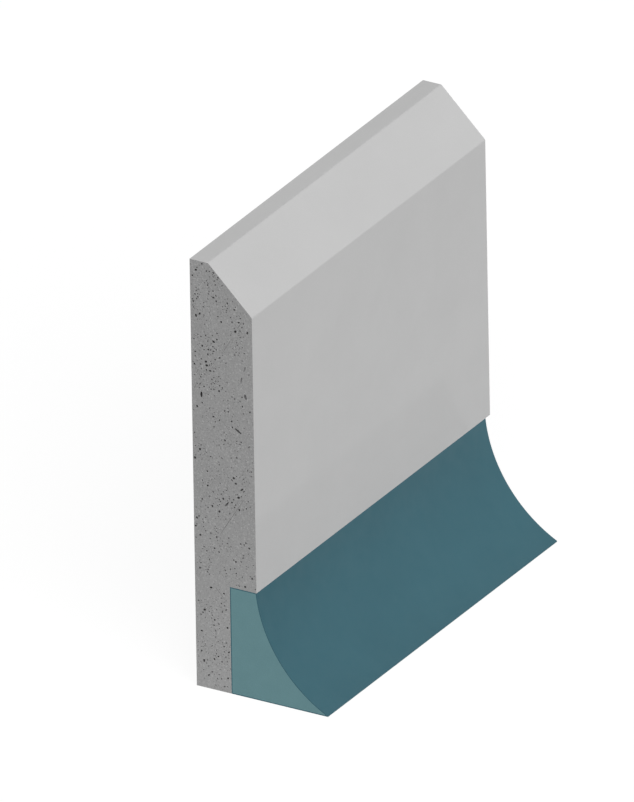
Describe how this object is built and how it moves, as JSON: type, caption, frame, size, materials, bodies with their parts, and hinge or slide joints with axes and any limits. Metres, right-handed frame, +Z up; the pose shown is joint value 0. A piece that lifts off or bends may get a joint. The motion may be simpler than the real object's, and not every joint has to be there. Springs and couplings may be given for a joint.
{
  "type": "concrete wall kerb with coved foot",
  "caption": "Precast concrete wall kerb with a sloped top and a rebated foot that holds a hollow resin cove, sweeping out to the floor for a washable corner.",
  "frame": {"origin": "on the floor, in the middle of the length and of the depth from the wall face to the cove's toe", "axes": "+X along the kerb, towards the end where the cove stops short; +Y towards the wall; +Z up"},
  "size_m": [0.39, 0.128, 0.4],
  "materials": {
    "concrete": "matte",
    "cove_resin": "satin"
  },
  "bodies": {
    "root": {"kerb_stone": "concrete", "cove": "cove_resin"}
  },
  "joints": []
}
